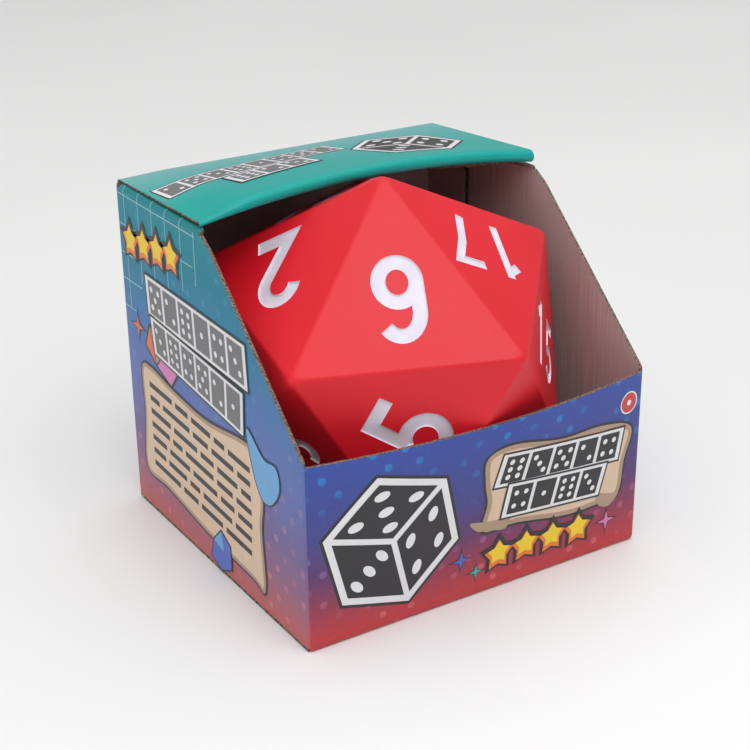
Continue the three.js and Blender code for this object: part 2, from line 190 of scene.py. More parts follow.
def finished(material, color, roughness, relief=None, depth=0.0, gloss=None):
    """The material with its colour, roughness and gloss, and a relief of the given depth in metres."""
    tree = material.node_tree
    shader = tree.nodes["Principled BSDF"]
    feed(tree, color, shader.inputs["Base Color"])
    feed(tree, roughness, shader.inputs["Roughness"])
    feed(tree, gloss, shader.inputs["Specular IOR Level"])
    if relief:
        bump = node(tree, "ShaderNodeBump")
        bump.inputs["Strength"].default_value = 1.0
        bump.inputs["Distance"].default_value = depth
        feed(tree, relief, bump.inputs["Height"])
        feed(tree, bump.outputs[0], shader.inputs["Normal"])
    return material


def object_place(tree):
    return node(tree, "ShaderNodeTexCoord").outputs["Object"]


UV_UNIT = 100            # mm along a board or up it


def print_place(tree):
    """The place on a board, from its UV map."""
    return node(tree, "ShaderNodeTexCoord").outputs["UV"]


def print_axes(tree):
    """The place on a board as three numbers: along it, up it, and 0."""
    separate = node(tree, "ShaderNodeSeparateXYZ")
    feed(tree, print_place(tree), separate.inputs[0])
    return separate.outputs


def stretched(tree, vector, factors):
    return vector_node(tree, "MULTIPLY", vector, factors)


def flute_height(tree):
    """Fine upright ridges where the flutes show through the liner, with paper noise."""
    place = print_place(tree)
    streaks = noise(tree, stretched(tree, place, (30.0, 0.5, 1.0)), 3.0, 2.0)
    paper = noise(tree, place, 90.0, 4.0)
    return math_node(tree, "ADD", streaks, math_node(tree, "MULTIPLY", paper, 0.4))


# ---------------------------------------------------------------- materials

INK_ROUGHNESS = 0.42


def ink_material(name, color):
    """Printed ink: a slightly uneven colour on coated board."""
    material, tree = new_material(name)
    tint = noise(tree, object_place(tree), 160.0, 4.0)
    darker = tuple(0.86 * part for part in color)
    return finished(material, mix_color(tree, tint, darker, color), INK_ROUGHNESS, tint, 0.00003)


DOT_SPACING = 0.135      # in UV units
DOT_RADIUS = 0.016
GRADIENT_WOBBLE = 0.10   # how unevenly the colours change, as a share of the board's height


def dotted(tree, base, dot_color):
    """Soft round dots in staggered rows over a base colour."""
    place = stretched(tree, print_place(tree), (1 / DOT_SPACING, 1 / DOT_SPACING, 0.0))
    distances = []
    for shift in (0.0, 0.5):
        moved = vector_node(tree, "ADD", place, (shift, shift, 0.0))
        cell = vector_node(tree, "FRACTION", moved)
        centred = vector_node(tree, "SUBTRACT", cell, (0.5, 0.5, 0.0))
        flat = vector_node(tree, "MULTIPLY", centred, (1.0, 1.0, 0.0))
        distances.append(vector_node(tree, "LENGTH", flat))
    nearest = math_node(tree, "MINIMUM", distances[0], distances[1])
    size = DOT_RADIUS / DOT_SPACING
    strength = node(tree, "ShaderNodeMapRange", interpolation_type="SMOOTHSTEP")
    tree.links.new(nearest, strength.inputs[0])
    strength.inputs[1].default_value = size * 1.25
    strength.inputs[2].default_value = size * 0.75
    patches = noise(tree, print_place(tree), 4.0, 1.0)
    seen = ramp(tree, patches, [(0.42, (0.0, 0.0, 0.0)), (0.58, (0.75, 0.75, 0.75))])
    return mix_color(tree, math_node(tree, "MULTIPLY", strength.outputs[0], seen), base, dot_color)


def printed_material(name, stops, tall, gloss, dots=None):
    """A printed board face: a colour gradient up its height in mm, with soft dots if asked."""
    material, tree = new_material(name)
    wobble = math_node(tree, "MULTIPLY", noise(tree, print_place(tree), 3.0), GRADIENT_WOBBLE)
    share = math_node(tree, "MULTIPLY", print_axes(tree)[1], UV_UNIT / tall)
    height = math_node(tree, "ADD", share, math_node(tree, "SUBTRACT", wobble, GRADIENT_WOBBLE / 2))
    color = ramp(tree, height, stops)
    if dots:
        color = dotted(tree, color, ramp(tree, share, dots))
    paper = noise(tree, print_place(tree), 60.0, 4.0)
    shade = ramp(tree, paper, [(0.3, (0.90, 0.90, 0.90)), (0.7, (1.0, 1.0, 1.0))])
    worn = mix_color(tree, 1.0, color, shade, "MULTIPLY")
    return finished(material, worn, 0.40, flute_height(tree), 0.00006, gloss)


def liner_material():
    """The unprinted inside of the board: grey-mauve paper with fine upright streaks."""
    material, tree = new_material("liner_paper")
    place = print_place(tree)
    streaks = noise(tree, stretched(tree, place, (60.0, 0.8, 1.0)), 3.0, 3.0)
    fibres = noise(tree, place, 120.0, 5.0)
    mixed = math_node(tree, "ADD", math_node(tree, "MULTIPLY", streaks, 0.7),
                      math_node(tree, "MULTIPLY", fibres, 0.3))
    color = ramp(tree, mixed, [(0.32, (0.42, 0.33, 0.32)), (0.5, (0.52, 0.415, 0.405)),
                               (0.68, (0.61, 0.50, 0.485))])
    return finished(material, color, 0.85, mixed, 0.00012)


def flap_material():
    """A dust flap's outside: the print ends soon after the crease, and bare liner follows."""
    material, tree = new_material("flap_print_end")
    fibres = math_node(tree, "MULTIPLY", noise(tree, print_place(tree), 80.0, 4.0), 0.04)
    across = math_node(tree, "ADD", print_axes(tree)[0], fibres)
    color = ramp(tree, across, [(0.0, (0.004, 0.20, 0.24)), (0.27, (0.004, 0.24, 0.24)),
                                (0.30, (0.30, 0.215, 0.205)), (1.0, (0.34, 0.25, 0.23))])
    return finished(material, color, 0.5, flute_height(tree), 0.00006)


def cut_edge_material():
    """The cut edge of the board: tan paper, with the mouths of the flutes painted dark as the shade inside
    them.
    """
    material, tree = new_material("cut_board_edge")
    flutes = noise(tree, stretched(tree, print_place(tree), (55.0, 55.0, 1.0)), 2.2, 1.0)
    color = ramp(tree, flutes, [(0.35, (0.07, 0.048, 0.038)), (0.62, (0.27, 0.195, 0.16))])
    return finished(material, color, 0.9, flutes, 0.0003, gloss=0.1)


def open_flutes_material():
    """The tab's edge, where the flutes stand open: near black, a painted shade in the open flute channels.
    """
    material, tree = new_material("open_flutes")
    flutes = noise(tree, stretched(tree, print_place(tree), (30.0, 30.0, 1.0)), 2.0, 1.0)
    color = ramp(tree, flutes, [(0.40, (0.012, 0.008, 0.008)), (0.62, (0.07, 0.05, 0.045))])
    return finished(material, color, 0.95, flutes, 0.0003)


def foam_material():
    """The die's matte foam skin, with very fine pores and slightly uneven colour."""
    material, tree = new_material("red_foam_skin")
    place = object_place(tree)
    cloud = noise(tree, place, 22.0, 3.0)
    color = ramp(tree, cloud, [(0.3, (0.64, 0.005, 0.015)), (0.7, (0.71, 0.008, 0.022))])
    rough = ramp(tree, cloud, [(0.3, (0.44, 0.44, 0.44)), (0.7, (0.54, 0.54, 0.54))])
    pores = math_node(tree, "ADD", noise(tree, place, 1400.0, 2.0), math_node(tree, "MULTIPLY", cloud, 6.0))
    return finished(material, color, rough, pores, 0.00004, gloss=0.45)


def paint_material():
    """White paint in the sunk numerals, a little cold and uneven."""
    material, tree = new_material("numeral_white")
    cloud = noise(tree, object_place(tree), 90.0, 4.0)
    color = ramp(tree, cloud, [(0.3, (0.64, 0.60, 0.71)), (0.65, (0.75, 0.72, 0.80))])
    return finished(material, color, 0.6, cloud, 0.0001)


def floor_material():
    material, tree = new_material("studio_floor")
    cloud = noise(tree, object_place(tree), 2.0, 3.0)
    color = ramp(tree, cloud, [(0.3, (0.80, 0.80, 0.80)), (0.7, (0.84, 0.84, 0.84))])
    return finished(material, color, 0.55)


# The colours of the prints by their share of the wall's height, or of the lid's length from the back.
SIDE_STOPS = [
    (0.03, (0.49, 0.12, 0.13)), (0.13, (0.31, 0.13, 0.21)), (0.26, (0.17, 0.13, 0.31)),
    (0.42, (0.13, 0.17, 0.44)), (0.60, (0.07, 0.18, 0.44)), (0.72, (0.03, 0.20, 0.37)),
    (0.86, (0.002, 0.21, 0.31)), (1.0, (0.004, 0.25, 0.30)),
]
FRONT_STOPS = [
    (0.04, (0.53, 0.055, 0.060)), (0.24, (0.29, 0.055, 0.10)), (0.40, (0.13, 0.055, 0.16)),
    (0.62, (0.07, 0.075, 0.26)), (1.0, (0.05, 0.09, 0.38)),
]
FRONT_DOTS = [
    (0.12, (0.66, 0.16, 0.16)), (0.36, (0.34, 0.12, 0.26)), (0.60, (0.05, 0.18, 0.52)),
    (1.0, (0.03, 0.26, 0.62)),
]
SIDE_DOTS = [
    (0.12, (0.62, 0.20, 0.20)), (0.36, (0.27, 0.20, 0.40)), (0.70, (0.06, 0.27, 0.48)),
    (1.0, (0.01, 0.29, 0.36)),
]
# The lid's colours grow lighter towards its back: a painted sheen, the glossy lid's reflection of the bright
# backdrop, over the teal print.
LID_STOPS_WITH_SHEEN = [(0.02, (0.17, 0.43, 0.43)), (0.35, (0.06, 0.38, 0.37)), (0.75, (0.001, 0.36, 0.32))]

LINER = liner_material()
CUT_EDGE = cut_edge_material()
OPEN_FLUTES_SHADE = open_flutes_material()
FRONT_PRINT = printed_material("front_colour_print", FRONT_STOPS, FRONT_HEIGHT, 0.2, FRONT_DOTS)
SIDE_PRINT = printed_material("side_colour_print", SIDE_STOPS, CARTON_TOP, 0.2, SIDE_DOTS)
# The lid's teal print, with its painted sheen towards the back.
LID_PRINT_AND_SHEEN = printed_material("teal_print_painted_sheen", LID_STOPS_WITH_SHEEN, HALF_DEPTH, 0.3)
FLAP_PRINT = flap_material()
FOAM = foam_material()
PAINT = paint_material()


# ---------------------------------------------------------------- board pieces

OUTER, INNER, EDGE = range(3)    # a board's two faces and its cut edge, and their materials
SHARP_ANGLE = 40                 # degrees; where two faces meet more steeply, their edge stays sharp
FOOT_ROWS = (0.0, 0.004, 0.012, 0.027)    # shares of a wall's height, close together at its rounded foot
LINER_SHEET = 150                # mm of liner that a bare piece's streaks are laid out over


def spread(low, high, count):
    return [low + (high - low) * i / count for i in range(count + 1)]


def board(name, columns, rows, outer, inner, place_uv, skin):
    """A sheet of board between two surfaces, closed round its four edges.

    outer and inner give the point for a column and a row; place_uv gives the print's place. All in mm.
    """
    mesh = bmesh.new()
    uv_layer = mesh.loops.layers.uv.new("print")
    sheets = []
    for surface in (outer, inner):
        sheets.append([[mesh.verts.new(surface(c, r) * MM) for r in rows] for c in columns])
    places = [[place_uv(c, r) for r in rows] for c in columns]

    def add_face(corners, material, uvs):
        face = mesh.faces.new(corners)
        face.material_index = material
        face.smooth = material != EDGE
        for loop, uv in zip(face.loops, uvs):
            loop[uv_layer].uv = (uv[0] / UV_UNIT, uv[1] / UV_UNIT)

    for i in range(len(columns) - 1):
        for j in range(len(rows) - 1):
            ring = [(i, j), (i + 1, j), (i + 1, j + 1), (i, j + 1)]
            for side, order in ((OUTER, ring), (INNER, ring[::-1])):
                corners = [sheets[side][a][b] for a, b in order]
                add_face(corners, side, [places[a][b] for a, b in order])

    def close_edge(steps):
        for (a, b), (c, d) in zip(steps, steps[1:]):
            corners = [sheets[OUTER][c][d], sheets[OUTER][a][b], sheets[INNER][a][b], sheets[INNER][c][d]]
            start, end = places[a][b], places[c][d]
            add_face(corners, EDGE, [end, start, (start[0], start[1] + BOARD), (end[0], end[1] + BOARD)])

    last_column = len(columns) - 1
    last_row = len(rows) - 1
    close_edge([(i, 0) for i in range(last_column + 1)])
    close_edge([(last_column, j) for j in range(last_row + 1)])
    close_edge([(i, last_row) for i in range(last_column, -1, -1)])
    close_edge([(0, j) for j in range(last_row, -1, -1)])
    bmesh.ops.recalc_face_normals(mesh, faces=mesh.faces)
    return finish_mesh(name, mesh, (skin, LINER, CUT_EDGE))


def finish_mesh(name, mesh, materials):
    data = bpy.data.meshes.new(name)
    mesh.to_mesh(data)
    mesh.free()
    for material in materials:
        data.materials.append(material)
    data.set_sharp_from_angle(angle=math.radians(SHARP_ANGLE))
    piece = bpy.data.objects.new(name, data)
    bpy.context.scene.collection.objects.link(piece)
    return piece


def stand_for(piece, body, slot, *nodes):
    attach(piece, body)
    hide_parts(*nodes)


def front_bulge(x, z):
    """How far the die pushes the front wall out."""
    share = max(0.0, min(1.0, z / FRONT_HEIGHT))
    return FRONT_BULGE * max(0.0, 1 - (x / HALF_WIDTH) ** 2) * share ** 1.3


def side_height(y):
    """The top of a side wall: level at the back, slanting down to the front wall."""
    slope = (CARTON_TOP - FRONT_HEIGHT) / (SHOULDER_Y + HALF_DEPTH)
    return min(SIDE_TOP, FRONT_HEIGHT + slope * (y + HALF_DEPTH))


def wall_columns(half_length, stops=()):
    """Places along a wall as (along, outer drop, inner drop, inner along), with half of each crease."""
    straight = half_length - CREASE
    columns = []
    for angle in (45, 60, 75, 90):
        turn = math.radians(angle)
        columns.append((math.cos(turn), math.sin(turn)))
    left = [(-straight - CREASE * c, CREASE * (1 - s), -straight - (CREASE - BOARD) * c,
             CREASE - (CREASE - BOARD) * s) for c, s in columns]
    middle = sorted(set(spread(-straight, straight, 16)[1:-1]) | set(stops))
    flat = [(a, 0.0, a, BOARD) for a in middle if abs(a) < straight]
    right = [(-a, drop, -ia, inner) for a, drop, ia, inner in reversed(left)]
    return left + flat + right


def wall(side, centre, along, outward, half_length, foot, top, skin, bulge=None, stops=(), round_foot=False):
    """An upright wall with half of each rounded crease at its ends."""
    def foot_drop(z):
        if not round_foot or z >= CREASE:
            return 0.0
        return CREASE - math.sqrt(CREASE ** 2 - (CREASE - z) ** 2)

    def point(a, drop, share, limit):
        z = foot + (top(limit) - foot) * share
        out = (bulge(a, z) if bulge else 0.0) - drop - foot_drop(z)
        return centre + along * a + outward * out + Vector((0, 0, z))

    def outer(column, share):
        return point(column[0], column[1], share, column[0])

    def inner(column, share):
        return point(column[2], column[3], share, column[0])

    def place_uv(column, share):
        return column[0] + half_length, foot + (top(column[0]) - foot) * share

    rows = [*FOOT_ROWS, *spread(0.06, 1.0, 14)]
    piece = board(side + "_board", wall_columns(half_length, stops), rows, outer, inner, place_uv, skin)
    stand_for(piece, "carton_walls", side + "_print", side + "_wall")


def make_walls():
    x, y = Vector((1, 0, 0)), Vector((0, 1, 0))
    wall("front", -y * HALF_DEPTH, x, -y, HALF_WIDTH, 0.0, lambda a: FRONT_HEIGHT, FRONT_PRINT,
         front_bulge, round_foot=True)
    wall("back", y * HALF_DEPTH, -x, y, HALF_WIDTH, 0.0, lambda a: BACK_TOP, SIDE_PRINT)
    wall("left", -x * HALF_WIDTH, -y, -x, HALF_DEPTH, SIDE_FOOT, lambda a: side_height(-a), SIDE_PRINT,
         stops=(-SHOULDER_Y,))
    wall("right", x * HALF_WIDTH, y, x, HALF_DEPTH, SIDE_FOOT, side_height, SIDE_PRINT, stops=(SHOULDER_Y,))


def make_glue_tab():
    low, high = box_mm("glue_tab")

    def surface(x):
        def point(y, share):
            inset = TAB_TAPER * (high.y - y) / (high.y - low.y)
            z = (low.z + inset) + (high.z - low.z - 2 * inset) * share
            return Vector((x, y, z))
        return point

    tab = board("glue_tab_board", spread(low.y, high.y, 6), spread(0.0, 1.0, 12), surface(high.x),
                surface(low.x), lambda y, share: (y + HALF_DEPTH, LINER_SHEET * share), LINER)
    # The tab's cut edge is near black: painted shade in its open flutes.
    tab.data.materials[EDGE] = OPEN_FLUTES_SHADE
    stand_for(tab, "carton_walls", "plain_liner", "glue_tab")


# ---------------------------------------------------------------- lid

def arch_height(x, y):
    forward = (HALF_DEPTH - y) / (HALF_DEPTH - NOSE_Y)
    return LID_ARCH * forward * (1 - (x / HALF_WIDTH) ** 2)


def arc_points(y, z, radius, start, end, steps):
    return [(y + radius * math.cos(math.radians(a)), z + radius * math.sin(math.radians(a)))
            for a in spread(start, end, steps)]


def fullness(x):
    """0 at the lid's left edge, where the board is pressed flat, and 1 away from it."""
    share = max(0.0, min(1.0, (LID_HALF_WIDTH + x) / PRESSED_WIDTH))
    return share * share * (3 - 2 * share)


def between(low, high, share):
    return low + (high - low) * share


def lid_top(x, y):
    """The height of the lid's upper face before the nose bends down."""
    full = fullness(x)
    forward = max(0.0, (HALF_DEPTH - CREASE - y) / (HALF_DEPTH - CREASE - NOSE_Y - NOSE_RADIUS))
    rise = between(LID_EDGE_RISE, LID_RISE, full) * min(1.0, forward)
    return LID_UNDERSIDE + between(PRESSED_BOARD, BOARD, full) + rise + arch_height(x, y)


def lid_section(x):
    """The lid's section from the back crease to under the nose, as (outer, inner) points in Y and Z."""
    full = fullness(x)
    board_here = between(PRESSED_BOARD, BOARD, full)
    nose = between(PRESSED_NOSE_RADIUS, NOSE_RADIUS, full)
    back = HALF_DEPTH - CREASE
    fold_y = NOSE_Y + NOSE_RADIUS
    outer = arc_points(back, lid_top(x, back) - CREASE, CREASE, 0, 90, 5)
    inner = arc_points(back, lid_top(x, back) - CREASE, CREASE - board_here, 0, 90, 5)
    for y in spread(back, fold_y, 12)[1:-1]:
        outer.append((y, lid_top(x, y)))
        inner.append((y, lid_top(x, y) - board_here))
    fold_z = lid_top(x, fold_y) - nose
    outer += arc_points(fold_y, fold_z, nose, 90, 270, 12)
    inner += arc_points(fold_y, fold_z, nose - board_here, 90, 270, 12)
    return outer, inner


def tuck_section(x):
    full = fullness(x)
    board_here = between(PRESSED_TUCK, BOARD, full)
    front = NOSE_Y + NOSE_RADIUS + 0.1
    outer = []
    for run in spread(0, TUCK_LENGTH, 6):
        y = front + run
        outer.append((y, LID_UNDERSIDE + 0.2 + TUCK_SLOPE * full * run + arch_height(x, y)))
    return outer, [(y, z + board_here) for y, z in outer]


def lengths_along(section):
    lengths = [0.0]
    for (y0, z0), (y1, z1) in zip(section, section[1:]):
        lengths.append(lengths[-1] + math.hypot(y1 - y0, z1 - z0))
    return lengths


def arched_board(name, section_at, half_width, skin):
    columns = spread(-half_width, half_width, 40)
    sections = {x: section_at(x) for x in columns}
    lengths = lengths_along(section_at(0.0)[0])

    def surface(side):
        def point(x, index):
            y, z = sections[x][side][index]
            return Vector((x, y, z))
        return point

    def place_uv(x, index):
        return x + HALF_WIDTH, lengths[index]

    return board(name, columns, range(len(lengths)), surface(OUTER), surface(INNER), place_uv, skin)


def make_lid():
    lid = arched_board("lid_board", lid_section, LID_HALF_WIDTH, LID_PRINT_AND_SHEEN)
    stand_for(lid, "lid", "lid_print", "lid_panel")
    tuck = arched_board("lid_tuck_board", tuck_section, TUCK_HALF_WIDTH, LINER)
    stand_for(tuck, "lid_tuck_flap", "plain_liner", "lid_tuck_flap")


def make_dust_flap(hand, side):
    """A dust flap with the rounded crease that joins it to its side wall; side is -1 on the right."""
    straight = FLAP_LENGTH - CREASE
    rear = HALF_DEPTH - FLAP_CLEAR

    def path(radius):
        bend = arc_points(-HALF_WIDTH + CREASE, CARTON_TOP - CREASE, radius, 180, 90, 5)
        flat = [(x - HALF_WIDTH + CREASE, CARTON_TOP - CREASE + radius) for x in spread(0, straight, 10)]
        return bend + flat[1:]

    def ends(run):
        """Where the flap starts and ends in Y, at a distance in from its side wall."""
        across = max(0.0, run - CREASE) / straight
        step = min(1.0, across * 12)
        front = between(SHOULDER_Y + 1, FLAP_FRONT, step * step) + FLAP_TAPER * across
        return front, rear - max(0.0, run)

    def surface(radius):
        def point(index, share):
            x, z = path(radius)[index]
            front, back = ends(x + HALF_WIDTH)
            return Vector((side * x, front + (back - front) * share, z))
        return point

    def place_uv(index, share):
        return index * 5.0, share * 78.0

    flap = board(hand + "_dust_board", range(len(path(CREASE))), spread(0.0, 1.0, 10), surface(CREASE),
                 surface(CREASE - BOARD), place_uv, FLAP_PRINT)
    stand_for(flap, hand + "_dust_flap", "plain_liner", hand + "_dust_flap")


# ---------------------------------------------------------------- bottom

def slab(name, node_name, outline):
    """A flat piece of board in place of a CAD node and on the body of the same name.

    outline gives the piece's near and far edge at each of its places along X.
    """
    low, high = box_mm(node_name)

    def surface(z):
        def point(index, share):
            x, near, far = outline[index]
            return Vector((x, near + (far - near) * share, z))
        return point

    piece = board(name, range(len(outline)), spread(0.0, 1.0, 6), surface(low.z), surface(high.z),
                  lambda index, share: (outline[index][0] + HALF_WIDTH, LINER_SHEET * share), LINER)
    stand_for(piece, node_name, "plain_liner", node_name)


def make_bottom():
    low, high = box_mm("bottom_panel")
    slab("bottom_board", "bottom_panel", [(x, low.y, high.y) for x in spread(low.x, high.x, 8)])
    for node_name in ("left_bottom_flap", "right_bottom_flap"):
        low, high = box_mm(node_name)
        hinge = low.x if low.x < 0 else high.x
        outline = [(x, low.y + abs(x - hinge), high.y) for x in spread(low.x, high.x, 6)]
        slab(node_name + "_board", node_name, outline)


def make_bottom_tuck():
    low, high = box_mm("bottom_tuck_flap")

    def surface(y):
        def point(x, share):
            z = low.z + (high.z - low.z) * share
            return Vector((x * (1 - BOTTOM_TUCK_TAPER / high.x * share), y, z))
        return point

    tuck = board("bottom_tuck_board", spread(low.x, high.x, 10), spread(0.0, 1.0, 4), surface(high.y),
                 surface(low.y), lambda x, share: (x + HALF_WIDTH, 15 * share), LINER)
    stand_for(tuck, "bottom_tuck_flap", "plain_liner", "bottom_tuck_flap")


# ---------------------------------------------------------------- die: body

FLATS_TO_CORNERS = 0.7946545     # a regular 20-sided die's width across its faces by that across its corners
INRADIUS = DIE_FLATS / 2
CIRCUMRADIUS = INRADIUS / FLATS_TO_CORNERS
RING_LATITUDE = math.atan(0.5)
NEXT_FACES = 0.7                 # lowest cosine between two faces that share an edge


def ring_corner(index, upper):
    azimuth = 2 * math.pi * (index + (0 if upper else 0.5)) / 5
    latitude = RING_LATITUDE if upper else -RING_LATITUDE
    return Vector((math.cos(latitude) * math.cos(azimuth), math.cos(latitude) * math.sin(azimuth),
                   math.sin(latitude)))


NORTH = Vector((0, 0, 1))
SOUTH = Vector((0, 0, -1))
UPPER = [ring_corner(i, True) for i in range(5)]
LOWER = [ring_corner(i, False) for i in range(5)]
CORNERS = [NORTH, SOUTH, *UPPER, *LOWER]


class DieFace:
    """A face with its corners, its numeral and the corner that the numeral's top is turned to."""

    def __init__(self, corners, value, points):
        self.corners = corners
        self.value = value
        self.points = points
        self.normal = sum(corners, Vector()).normalized()

    def to_die(self):
        """Takes a drawing in X-Y, with its front towards +Z, to this face, in mm."""
        up = (self.points - self.normal * self.points.dot(self.normal)).normalized()
        right = up.cross(self.normal)
        turn = Matrix((right, up, self.normal)).transposed().to_4x4()
        return Matrix.Translation(self.normal * INRADIUS) @ turn


def die_faces():
    cap = (9, 17, 3, 10, 2)
    belt = (5, 15, 8, 20, 14)
    faces = []
    for i in range(5):
        following = (i + 1) % 5
        opposite = (i + 3) % 5
        cap_top = NORTH if cap[i] == 9 else UPPER[following if cap[i] == 2 else i]
        belt_top = UPPER[following if cap[i] == 17 else i]
        faces.append(DieFace([NORTH, UPPER[i], UPPER[following]], cap[i], cap_top))
        faces.append(DieFace([UPPER[i], LOWER[i], UPPER[following]], belt[i], belt_top))
        faces.append(DieFace([LOWER[i], UPPER[following], LOWER[following]], 21 - belt[opposite], LOWER[i]))
        faces.append(DieFace([SOUTH, LOWER[i], LOWER[following]], 21 - cap[opposite], LOWER[i]))
    return faces


FACES = die_faces()


def has_corner(face, corner):
    return any(corner is other for other in face.corners)


ARC_FACETS = 8                   # facets across a rounded edge
TIP_RINGS = 4                    # rings of points round a rounded corner


def rounding_directions(corner):
    """Directions in which the rounding of a corner touches, out to the edges that meet there."""
    around = [face.normal for face in FACES if has_corner(face, corner)]
    directions = [corner]
    for i, first in enumerate(around):
        for second in around[i + 1:]:
            if first.dot(second) < NEXT_FACES:
                continue
            for step in range(ARC_FACETS + 1):
                rim = first.slerp(second, step / ARC_FACETS)
                directions += [corner.slerp(rim, (k + 1) / TIP_RINGS) for k in range(TIP_RINGS)]
    return directions


def edge_rounding_points():
    """Points on the rounding of every edge, close to both of its ends."""
    core = CIRCUMRADIUS * (1 - EDGE_ROUNDING / INRADIUS)
    points = []
    for start in CORNERS:
        for end in CORNERS:
            shared = [face.normal for face in FACES if has_corner(face, start) and has_corner(face, end)]
            if start is end or len(shared) < 2:
                continue
            place = start * core + (end - start).normalized() * TIP_LENGTH
            points += [place + shared[0].slerp(shared[1], k / ARC_FACETS) * EDGE_ROUNDING
                       for k in range(ARC_FACETS + 1)]
    return points


def rounded_die():
    mesh = bmesh.new()
    core = CIRCUMRADIUS * (1 - TIP_ROUNDING / INRADIUS)
    points = [corner * core + direction * TIP_ROUNDING
              for corner in CORNERS for direction in rounding_directions(corner)]
    for point in points + edge_rounding_points():
        mesh.verts.new(point)
    bmesh.ops.remove_doubles(mesh, verts=mesh.verts, dist=0.01)
    hull = bmesh.ops.convex_hull(mesh, input=mesh.verts)
    unused = {v for v in hull["geom_interior"] if isinstance(v, bmesh.types.BMVert)}
    bmesh.ops.delete(mesh, geom=list(unused), context="VERTS")
    bmesh.ops.recalc_face_normals(mesh, faces=mesh.faces)
    return mesh


# ---------------------------------------------------------------- die: numerals
# Each digit is one unit high and is drawn by the middle lines of its strokes.

ARC_STEP = 9             # degrees


class Stroke:
    def __init__(self, points, closed=False):
        self.points = points
        self.closed = closed

    def scaled(self, size):
        return Stroke([(x * size, y * size) for x, y in self.points], self.closed)


def arc(x, y, radius_x, radius_y, start, end):
    count = max(2, round(abs(end - start) / ARC_STEP))
    return [(x + radius_x * math.cos(math.radians(a)), y + radius_y * math.sin(math.radians(a)))
            for a in spread(start, end, count)]


def ring(x, y, radius_x, radius_y):
    return Stroke(arc(x, y, radius_x, radius_y, 0, 360)[:-1], closed=True)


NINE = [Stroke(arc(0.29, 0.69, 0.205, 0.225, -4, -360) + arc(0.285, 0.36, 0.215, 0.275, 0, -140))]
SIX = [Stroke([(0.58 - x, 1 - y) for x, y in stroke.points], stroke.closed) for stroke in NINE]
DIGITS = {
    "0": (0.6, [ring(0.3, 0.5, 0.215, 0.415)]),
    "1": (0.335, [Stroke([(0.03, 0.755), (0.25, 0.9)]), Stroke([(0.25, 1), (0.25, 0)])]),
    "2": (0.58, [Stroke(arc(0.29, 0.7, 0.205, 0.215, 165, -30) + [(0.13, 0.085), (0.57, 0.085)])]),
    "3": (0.58, [Stroke(arc(0.28, 0.72, 0.19, 0.195, 150, -90)),
                 Stroke(arc(0.28, 0.29, 0.215, 0.205, 90, -150))]),
    "4": (0.6, [Stroke([(0.43, 0.96), (0.06, 0.27), (0.6, 0.27)]), Stroke([(0.43, 1), (0.43, 0)])]),
    "5": (0.6, [Stroke([(0.51, 0.925), (0.16, 0.925), (0.135, 0.44)]),
                Stroke(arc(0.29, 0.31, 0.225, 0.225, 140, -150))]),
    "6": (0.58, SIX),
    "7": (0.58, [Stroke([(0.04, 0.915), (0.54, 0.915), (0.34, 0.5), (0.22, 0)])]),
    "8": (0.58, [ring(0.29, 0.725, 0.175, 0.19), ring(0.29, 0.29, 0.205, 0.205)]),
    "9": (0.58, NINE),
}


def unit(start, end):
    length = math.hypot(end[0] - start[0], end[1] - start[1])
    return (end[0] - start[0]) / length, (end[1] - start[1]) / length


def side_line(stroke, distance, extend):
    """The stroke's line moved sideways, with mitred corners; extend lengthens open ends."""
    points = stroke.points
    last = len(points) - 1
    moved = []
    for i, point in enumerate(points):
        before = points[i - 1] if i > 0 or stroke.closed else None
        after = points[(i + 1) % len(points)] if i < last or stroke.closed else None
        arriving = unit(before, point) if before else unit(point, after)
        leaving = unit(point, after) if after else arriving
        across = (-(arriving[1] + leaving[1]), arriving[0] + leaving[0])
        mitre = distance * 2 / (across[0] ** 2 + across[1] ** 2)
        end = 0 if before and after else (extend if before else -extend)
        moved.append((point[0] + across[0] * mitre + arriving[0] * end,
                      point[1] + across[1] * mitre + arriving[1] * end))
    return moved


def stroke_prism(mesh, stroke, half_width, matrix):
    """A closed prism along a stroke, wider at the top than at the bottom."""
    levels = []
    slope = RECESS_DRAFT / RECESS
    for z in (-RECESS, CUTTER_PROUD):
        grow = slope * (z + RECESS)
        left = side_line(stroke, half_width + grow, grow)
        right = side_line(stroke, -half_width - grow, grow)
        levels.append([[mesh.verts.new(matrix @ Vector((x, y, z))) for x, y in line]
                       for line in (left, right)])
    count = len(stroke.points)
    (low_left, low_right), (high_left, high_right) = levels
    for i in range(count if stroke.closed else count - 1):
        j = (i + 1) % count
        for a, b in ((high_left, high_right), (high_right, low_right), (low_right, low_left),
                     (low_left, high_left)):
            mesh.faces.new((a[i], b[i], b[j], a[j]))
    if not stroke.closed:
        for i in (0, count - 1):
            mesh.faces.new((low_left[i], low_right[i], high_right[i], high_left[i]))


def numeral_layout(value):
    digits = str(value)
    height = TWO_DIGIT_HEIGHT if len(digits) > 1 else ONE_DIGIT_HEIGHT
    widths = [DIGITS[digit][0] * height for digit in digits]
    shift_x, shift_y = DIGIT_SHIFTS.get(value, (0, 0))
    left = shift_x - (sum(widths) + (len(digits) - 1) * DIGIT_SPACE * height) / 2
    for digit, width in zip(digits, widths):
        yield digit, height, left, shift_y - height / 2
        left += width + DIGIT_SPACE * height


